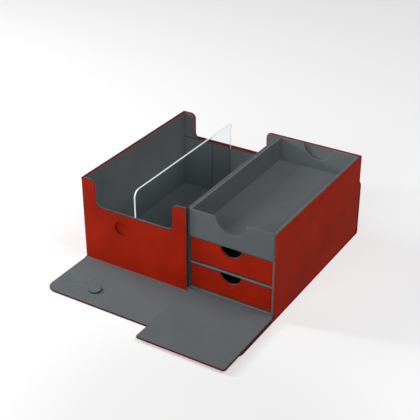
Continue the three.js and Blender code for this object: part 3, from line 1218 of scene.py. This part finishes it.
    def post_return(self) -> None:
        """Builds the strip of lining that turns from the front post to the right board, drawn in
        the dark lining as painted shade.

        It reaches a little into the post and the board on all its sides.
        """
        s, (before, beyond), (below, above) = self.s, self.strip_laps, self.strip_ends
        near, far = s.front + s.wall - before, s.board_front + beyond
        corners = [below, below, above, above]
        loop = rounded_loop(near, s.deck + below, far, s.top - above, corners)
        inner, outer = self.strip_sides
        strip = Sheet([loop], s.card_right - inner, s.card_right + outer)
        surface = strip.surface(Lie.FACING_SIDE.carry)
        self.shop.place("front_post_return", surface, self.finishes.painted_shade_lining, "box")

    def build(self) -> None:
        """Builds every piece of the card box."""
        shop, finishes = self.shop, self.finishes
        self.walls()
        self.recess("front_recess_cup", self.s.front, 1)
        self.recess("back_recess_cup", self.s.back, -1)
        board = shop.soften("card_box_right_board", "box", self.board_roll, finishes.lining)
        # Painted shade: the board's front edge, in the post's shadow, gets the dark lining.
        shop.refinish(board, finishes.painted_shade_lining, Way.FRONT.faced(0.3))
        self.post_return()
        shop.soften("card_box_floor", "box", self.floor_roll, finishes.lining)
        for end in ("front", "back"):
            for place in ("left", "middle", "right"):
                part = f"{end}_guide_{place}"
                roll, lower = self.guide_roll, self.turn_over
                guide = shop.soften(part, "box", roll, finishes.lining, lower)
                # Painted shade: the guides' tops get the dark lining.
                shop.refinish(guide, finishes.painted_shade_lining, Way.UP.faced(0.3))
        self.divider()


@dataclass
class HingedPanel(Assembly):
    """A panel laid level in front of the box: a covered board and its lining on it."""

    body: str
    left: float = -145.0
    near: float = 3.1
    reach: float = 89.7
    corner: float = 16.0
    low: float = 0.0
    lining_inset: float = 0.9
    cover_rolls: tuple[float, float] = (0.6, 0.6)
    lining_rolls: tuple[float, float] = (0.05, 0.4)
    rim: float = 0.8

    @property
    def lined_way(self) -> Way:
        """The way that its lining looks."""
        return Way.UP

    def stand(self, points: np.ndarray) -> np.ndarray:
        """Leaves the panel as it lies."""
        return points

    def layers(self, lining: Skin) -> None:
        """Builds the covered board and the lining, square at the hinge, with painted shade on the
        covering's rim.

        Args:
            lining: The lining's finish.
        """
        s, finishes = self.s, self.finishes
        middle, high = self.low + s.flap_cover, self.low + s.flap
        for layer, inset, span, rolls, finish in (
            ("cover", 0.0, (self.low, middle), self.cover_rolls, finishes.leather),
            ("lining", self.lining_inset, (middle, high), self.lining_rolls, lining),
        ):
            far, radius = s.front - self.reach + inset, self.corner - inset
            sides = (self.left + inset, far, s.right - inset, s.front - self.near)
            loop = rounded_loop(*sides, [radius, radius, 0, 0])
            sheet = Sheet([loop], *span, *rolls, square=(0, 1))
            points, faces = sheet.surface(Lie.PLAN.carry)
            name = f"{self.body}_{layer}"
            surface = self.stand(points), faces
            made = self.shop.place(name + "_soft", surface, finish, self.body, [name])
            if layer == "cover":
                # Painted shade: the covering's rim gets the darker leatherette.
                self.shop.refinish(made, finishes.turned, self.lined_way.faced(-self.rim))


@dataclass
class Flap(HingedPanel):
    """A folding flap: a panel with a round button."""

    standing: bool = False
    hinge_level: float = 3.05
    button_across: float = -84.0
    button_out: float = 61.5
    button_radius: float = 8.7
    button_height: float = 2.3
    button_roll: float = 1.3
    button_edge: float = 0.4
    skin: float = 0.4
    spine_laps: tuple[float, float] = (0.2, 0.4)
    spine_side: float = 0.1
    spine_corner: float = 0.15

    @property
    def lined_way(self) -> Way:
        """The way that its lining looks: up, or forwards when it stands behind the box."""
        return Way.FRONT if self.standing else Way.UP

    def stand(self, points: np.ndarray) -> np.ndarray:
        """Turns a flap that was laid in front of the box to stand behind it, if it does.

        Half a turn about the upright axis, then a quarter turn about the back hinge line.

        Args:
            points: The flap's points as it lies in front.

        Returns:
            Its points in their place.
        """
        if not self.standing:
            return points
        back, level = self.s.back, self.hinge_level
        x, y, z = -points[:, 0], -points[:, 1] - back, points[:, 2] - level
        return np.column_stack([x, back - z, level + y])

    def button(self) -> None:
        """Builds the round button: a disc with a rolled rim, turned from its profile."""
        r, h, roll = self.button_radius, self.button_height, self.button_roll
        rim = arc(r - roll, h - roll, roll, 0, 90, RIM_STEPS)
        points, faces = turned(join([(r, 0.0)], rim, [(r - roll - self.button_edge, h)]))
        points += [self.button_across, self.s.front - self.button_out, self.s.deck]
        name = self.body + "_button"
        finishes, surface = self.finishes, (self.stand(points), faces)
        made = self.shop.place(name + "_soft", surface, finishes.flap_lining, self.body, [name])
        # Painted shade: the button's side gets the dark lining.
        self.shop.refinish(made, finishes.painted_shade_lining, self.lined_way.skirted(0.8))

    def spine(self) -> None:
        """Builds the covering between the back fold and the standing flap.

        Seen from the side: a strip from the fold's outer edge up to the flap's outer face.
        """
        s, finishes, side = self.s, self.finishes, self.spine_side
        below, above = self.spine_laps
        outer, low, high = s.back + s.flap, s.deck - below, self.hinge_level + self.near + above
        loop = rounded_loop(outer - self.skin, low, outer, high, [self.spine_corner] * 4)
        surface = Sheet([loop], s.left + side, s.right - side).surface(Lie.FACING_SIDE.carry)
        made = self.shop.place(self.body + "_spine", surface, finishes.leather, None)
        # Painted shade: the strip's two ends get the darker leatherette.
        self.shop.refinish(made, finishes.turned, lambda n, _: np.abs(n[:, 0]) > 0.7)
        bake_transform(made)

    def build(self) -> None:
        """Builds the flap's layers and button, and the spine of one that stands."""
        finishes = self.finishes
        self.layers(finishes.lining if self.standing else finishes.flap_lining)
        self.button()
        if self.standing:
            self.spine()


@dataclass
class DrawerDoor(HingedPanel):
    """The drop-down door: a panel and the soft fold that joins it to the drawer unit."""

    left: float = 19.0
    near: float = 0.05
    reach: float = 118.5
    corner: float = 4.0
    low: float = 3.1
    fold_level: float = 6.0
    fold_span: tuple[float, float] = (5.3, -0.6)
    fold_sides: tuple[float, float] = (0.2, 0.4)
    fold_grid: tuple[int, int] = (13, 40)
    bend_span: tuple[float, float] = (4.6, -0.2)
    valley: float = 0.2
    sharpness: float = 1.5
    felt: float = 0.35

    def fold(self) -> None:
        """Builds the lining's strip between the drawer floor and the door.

        A grid: across the box by along the fold. From the unit's underlay at t = 0 to the
        door's lining at t = 1, with a valley of the form sin(pi t) to a power between. The
        strip's two faces lie half its thickness along the line's normal on each side.
        """
        s, half, (along, across) = self.s, self.felt / 2, self.fold_grid
        t = np.linspace(0, 1, along)
        y = np.interp(t, [0, 1], [s.front + place for place in self.fold_span])
        z = self.fold_level - self.valley * np.sin(math.pi * t) ** self.sharpness
        left, right = self.fold_sides
        x = np.linspace(s.card_right + left, s.unit_right - right, across)
        line = np.stack([y, z], 1)
        slope = np.gradient(line, axis=0)
        length = np.linalg.norm(slope, axis=1, keepdims=True)
        aside = np.stack([slope[:, 1], -slope[:, 0]], 1) / length * half
        section = join(line + aside, (line - aside)[::-1])
        points = np.column_stack([np.repeat(x, len(section)), np.tile(section, (len(x), 1))])
        surface = points, tube(len(section), len(x))
        made = self.shop.place("drawer_door_fold", surface, self.finishes.painted_shade_unit_lining, None)
        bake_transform(made)

    def build(self) -> None:
        """Builds the door."""
        self.layers(self.finishes.painted_shade_unit_lining)
        self.fold()


@dataclass
class Base(Assembly):
    """The base panel and the two folds of covering along it."""

    felt: float = 0.8
    radius: float = 3.0
    roll: float = 0.4

    def fold(self, name: str, outwards: int) -> None:
        """Builds a fold: a leatherette quarter round with a lining strip on its flat top.

        Seen from the side, the round is the hinge line plus r(cos t, -sin t). Its loops
        run clockwise behind the box and counter-clockwise in front, and are then put right.

        Args:
            name: The solid that it stands for.
            outwards: 1 or -1, the way out of the box along the depth axis.
        """
        s, finishes = self.s, self.finishes
        edge = s.front if outwards < 0 else s.back
        seam, start = s.deck - self.felt, math.degrees(math.asin(self.felt / self.radius))
        low, high = (
            arc(0, 0, self.radius, first, last, steps) * [outwards, 1] + [edge, s.deck]
            for first, last, steps in ((-start, -90, ARC_STEPS), (0, -start, SMALL_STEPS))
        )
        for label, inner, round_edge, finish, nodes in (
            ("_round", [[edge, seam]], low, finishes.leather, [name]),
            ("_lining", [[edge, seam], [edge, s.deck]], high, finishes.lining, []),
        ):
            loop = join(inner, round_edge)[::-outwards]
            surface = Sheet([loop], s.left, s.right).surface(Lie.FACING_SIDE.carry)
            self.shop.place(name + label, surface, finish, "box", nodes)

    def build(self) -> None:
        """Builds the base panel and its folds."""
        finishes = self.finishes
        panel = self.shop.soften("base_panel", "box", self.roll, finishes.leather)
        # Painted shade: the panel's sides get the darker leatherette.
        self.shop.refinish(panel, finishes.turned, Way.UP.skirted(0.8))
        self.fold("front_hinge_strip", -1)
        self.fold("back_hinge_strip", 1)


@dataclass
class Drawer(Assembly):
    """A drawer: a leatherette front over a lined board, both notched, and a lined body."""

    body: str
    notch_radius: float = 15.4
    notch_rise: float = 2.4
    notch_steps: int = 28
    corner_steps: int = 5
    round: float = 1.0
    corner: float = 2.4
    skin_rolls: tuple[float, float] = (0.4, 0.05)
    board_rolls: tuple[float, float] = (0.05, 0.3)
    roll: float = 0.4

    def notched(self, solid: Extent) -> np.ndarray:
        """The front's outline: a rectangle with a round bite out of its top edge.

        Args:
            solid: The reach of its solid.

        Returns:
            The outline's points.
        """
        (left, _, foot), (right, _, top) = solid
        half = math.degrees(math.acos(self.notch_rise / self.notch_radius))
        centre, middle = (left + right) / 2, top + self.notch_rise
        r, steps, size = self.round, self.corner_steps, self.notch_radius
        low, high = foot + r, top - r
        return tidy_loop(join(
            arc(left + r, low, r, 180, 270, steps),
            arc(right - r, low, r, 270, 360, steps),
            arc(right - r, high, r, 0, 90, steps),
            arc(centre, middle, size, 270 + half, 270 - half, self.notch_steps),
            arc(left + r, high, r, 90, 180, steps),
        ))

    def build(self) -> None:
        """Builds the drawer's front and body."""
        shop, finishes, front = self.shop, self.finishes, self.body + "_front_"
        cover = extent(front + "cover")
        (left, face, _), (right, seam, _) = cover
        rear = extent(front + "board").high[1]
        falling = FallingFace(left, right, face, rear - face, self.corner)
        loop = with_stations(self.notched(cover), falling.stations)
        for label, solid, span, rolls, finish in (
            ("skin", "cover", (face, seam), self.skin_rolls, finishes.leather),
            ("lined", "board", (seam, rear), self.board_rolls, finishes.painted_shade_unit_lining),
        ):
            surface = Sheet([loop], *span, *rolls, ribs=falling.stations).surface(falling.carry)
            shop.place(front + label, surface, finish, self.body, [front + solid])
        for part in ("floor", "left_side", "right_side", "back"):
            shop.soften(f"{self.body}_{part}", self.body, self.roll, finishes.painted_shade_unit_lining)


@dataclass
class Tray(Assembly):
    """The lift-out tray: two notched ends with round corners, two sides and a raised floor."""

    notch_radius: float = 22.5
    notch_rise: float = 2.6
    notch_steps: int = 30
    lip: float = 2.2
    round: float = 1.6
    corner: float = 2.4
    front_rolls: tuple[float, float] = (0.7, 0.7)
    back_rolls: tuple[float, float] = (0.35, 1.0)
    roll: float = 0.8

    def outline(self, solid: Extent) -> np.ndarray:
        """An end's outline: a round notch that runs into the top edge over two small lips.

        Each lip's circle touches the top edge and the notch's circle: the two middles are
        the sum of their radii apart, and one lies the rise and the lip above the other.

        Args:
            solid: The reach of its solid.

        Returns:
            The outline's points.
        """
        (left, _, low), (right, _, top) = solid
        centre, big, small, up = (left + right) / 2, self.notch_radius, self.lip, self.notch_rise
        reach = math.sqrt((big + small) ** 2 - (up + small) ** 2)
        lean = math.degrees(math.atan2(up + small, reach))
        r, level = self.round, top - small
        return tidy_loop(join(
            [[left, low], [right, low]],
            arc(right - r, top - r, r, 0, 90, SMALL_STEPS),
            arc(centre + reach, level, small, 90, 180 - lean, RIM_STEPS),
            arc(centre, top + up, big, 360 - lean, 180 + lean, self.notch_steps),
            arc(centre - reach, level, small, lean, 90, RIM_STEPS),
            arc(left + r, top - r, r, 90, 180, SMALL_STEPS),
        ))

    def build(self) -> None:
        """Builds the tray."""
        shop, finishes, solid = self.shop, self.finishes, extent("tray_front")
        (left, near, _), (right, far, _) = solid
        outline = self.outline(solid)
        falling = FallingFace(left, right, near, far - near, self.corner)
        places = falling.stations
        loop = with_stations(outline, places)
        front = Sheet([loop], near, far, *self.front_rolls, ribs=places, square=(0, -1))
        (_, near, _), (_, far, _) = extent("tray_back")
        back = Sheet([outline], near, far, *self.back_rolls)
        # Painted light on the tray's back end, drawn in the paler lining; painted shade on its
        # front end, drawn in the darker lining.
        for name, surface, finish in (
            ("tray_front", front.surface(falling.carry), finishes.painted_shade_unit_lining),
            ("tray_back", back.surface(Lie.FACING_FRONT.carry), finishes.painted_light_lining),
        ):
            shop.place(name + "_soft", surface, finish, "tray", [name])
        for part in ("tray_left", "tray_right", "tray_floor"):
            shop.soften(part, "tray", self.roll, finishes.lining)


@dataclass
class DrawerUnit(Assembly):
    """The shell on the right: wrapped right and back walls, floor, shelf and deck."""

    corner: float = 4.0
    inner_corner: float = 0.6
    overlap: float = 0.1
    back_lower: float = 1.1
    cover_rolls: tuple[float, float] = (0.6, 0.2)

    def wrap(self) -> None:
        """Builds the covered board round the right and back walls, with one round corner."""
        s, r, small = self.s, self.corner, self.inner_corner
        near = extent("drawer_unit_right_cover").low[1]
        depth, width = s.back - near, s.right - s.card_right
        x, y = s.unit_right, s.back - s.wall + self.overlap
        turn = np.linspace(depth - r, depth + r, BEND_STEPS + 1)
        stations = join([0], turn, [depth + width])
        outer, inner = (
            join([[a, near]], arc(a - c, b - c, c, 0, 90, BEND_STEPS), [[s.card_right, b]])
            for a, b, c in ((s.right, s.back, r), (x, y, small))
        )
        end = stations[-1]
        flat = np.array([[0, s.deck], [end, s.deck], [end, s.top], [0, s.top]])
        ribs = stations[1:-1]
        sheet = Sheet([with_stations(flat, ribs)], 0.0, s.cover, *self.cover_rolls, ribs=ribs)
        surface = sheet.surface(Band(stations, outer, inner, s.cover).carry)
        nodes = ["drawer_unit_right_cover", "drawer_unit_back_cover"]
        leather = self.finishes.leather
        made = self.shop.place("drawer_unit_covered_walls", surface, leather, "box", nodes)
        # Painted shade: the back wall's top edge and the upright corner get the darker
        # leatherette.
        self.shop.refinish(made, self.finishes.turned, self.painted_shade_edges)

    def painted_shade_edges(self, normals: np.ndarray, centres: np.ndarray) -> np.ndarray:
        """Chooses the back wall's top edge and the upright corner, which get painted shade.

        Args:
            normals: The faces' normals.
            centres: The faces' centres.

        Returns:
            True for each face that gets painted shade.
        """
        s, r, upward, backward = self.s, self.corner, 0.6, 0.02
        top = (normals[:, 2] > upward) & (centres[:, 1] > s.back - r)
        return top | ((normals[:, 1] > backward) & (centres[:, 0] > s.right - r))

    def build(self) -> None:
        """Builds the shell, with painted light: faces of the floor, shelf and back board that
        look to the front get a paler lining.
        """
        shop, finishes = self.shop, self.finishes
        self.wrap()
        for part, roll, lit, lower in (
            ("underlay", 0.3, False, 0.0),
            ("floor", 1.4, True, 0.0),
            ("shelf", 1.4, True, 0.0),
            ("deck", 0.7, False, 0.0),
            ("right_board", 0.7, False, 0.0),
            ("back_board", 0.3, True, self.back_lower),
        ):
            made = shop.soften("drawer_unit_" + part, "box", roll, finishes.painted_shade_unit_lining, lower)
            # Painted light: the faces that look to the front get the paler lining.
            if lit:
                shop.refinish(made, finishes.painted_light_lining, Way.FRONT.faced(0.75))


@dataclass(frozen=True)
class Lamp:
    """A square soft light that faces the box.

    It hangs turn degrees round the box from the front towards the right, rise degrees
    above the floor and away metres off. Its side is in metres and its power in watts.
    """

    name: str
    turn: float
    rise: float
    away: float
    side: float
    power: float
    aim: tuple[float, float, float] = (0.0, 0.0, 0.05)

    def hang(self) -> None:
        """Hangs the lamp: its place is away times (sin t cos e, -cos t cos e, sin e)."""
        t, e = math.radians(self.turn), math.radians(self.rise)
        ray = [math.sin(t) * math.cos(e), -math.cos(t) * math.cos(e), math.sin(e)]
        place = self.away * np.array(ray)
        light = bpy.data.lights.new(self.name, "AREA")
        light.shape = "SQUARE"
        light.size = self.side
        light.energy = self.power
        made = add_object(self.name, light)
        made.location = place
        x, y, z = np.array(self.aim) - place
        made.rotation_euler = (math.atan2(math.hypot(x, y), -z), 0, math.atan2(-x, y))


@dataclass
class Studio:
    """Pale floor, soft light and the camera at the photograph's angle."""

    paper: Skin
    half_side: float = 6000.0
    level: float = -0.3
    sky: float = 0.02
    camera_mm: tuple[float, float, float] = (604.4, -1028.4, 737.5)
    pitch: float = 29.712
    yaw: float = 31.389
    lens: float = 85.844
    sensor: float = 36.0
    farthest: float = 50.0
    lamps: tuple[Lamp, ...] = (
        Lamp("key", 291, 22, 1.4, 0.16, 9.0),
        Lamp("left", 275, 36, 1.7, 0.7, 10.5),
        Lamp("front", 4, 22, 2.0, 1.0, 14.6),
        Lamp("right", 90, 58, 2.2, 1.2, 20.5),
    )

    def floor(self) -> None:
        """Lays a wide sheet of paper under the box."""
        corners = np.array([(-1, -1), (1, -1), (1, 1), (-1, 1)]) * self.half_side
        points = np.column_stack([corners, np.full(4, self.level)])
        mesh = bpy.data.meshes.new("backdrop_paper")
        mesh.from_pydata((points * MM).tolist(), [], [(0, 1, 2, 3)])
        mesh.materials.append(self.paper.material)
        made = add_object("backdrop_paper", mesh)

    def world(self) -> None:
        """Makes a dim grey sky for light, seen as white by camera, mirror and glass rays."""
        world = bpy.data.worlds.new("studio")
        bpy.context.scene.world = world
        world.use_nodes = True
        tree = world.node_tree
        tree.nodes.clear()
        sky, white = (
            node(tree, "Background", {"Color": WHITE, "Strength": strength})
            for strength in (self.sky, 1.0)
        )
        mixed = node(tree, "MixShader", {0: seen_rays(tree), 1: sky, 2: white})
        node(tree, "OutputWorld", {"Surface": mixed})

    def camera(self) -> None:
        """Sets the camera where the photograph's was found to be."""
        data = bpy.data.cameras.new("camera")
        data.sensor_width = self.sensor
        data.lens = self.lens
        data.clip_end = self.farthest
        made = add_object("camera", data)
        made.location = [value * MM for value in self.camera_mm]
        made.rotation_euler = (math.radians(90 - self.pitch), 0, math.radians(self.yaw))
        bpy.context.scene.camera = made

    def build(self) -> None:
        """Builds the studio."""
        self.floor()
        for lamp in self.lamps:
            lamp.hang()
        self.world()
        self.camera()
        bpy.context.scene.view_settings.view_transform = "Standard"


def main() -> None:
    """Builds the box piece by piece, then the studio."""
    logging.basicConfig(level=logging.INFO, format="%(name)s %(message)s")
    sizes = Sizes()
    shop = Workshop(Finishes())
    Base(shop, sizes).build()
    Flap(shop, sizes, "front_flap").build()
    Flap(
        shop, sizes, "back_flap", standing=True, button_across=84.0, reach=83.5, corner=10.0
    ).build()
    CardBox(shop, sizes).build()
    DrawerUnit(shop, sizes).build()
    Drawer(shop, sizes, "lower_drawer").build()
    Drawer(shop, sizes, "upper_drawer").build()
    Tray(shop, sizes).build()
    DrawerDoor(shop, sizes, "drawer_door").build()
    Studio(shop.finishes.paper).build()
    log.info("%d pieces", shop.made)


if __name__ == "__main__":
    main()
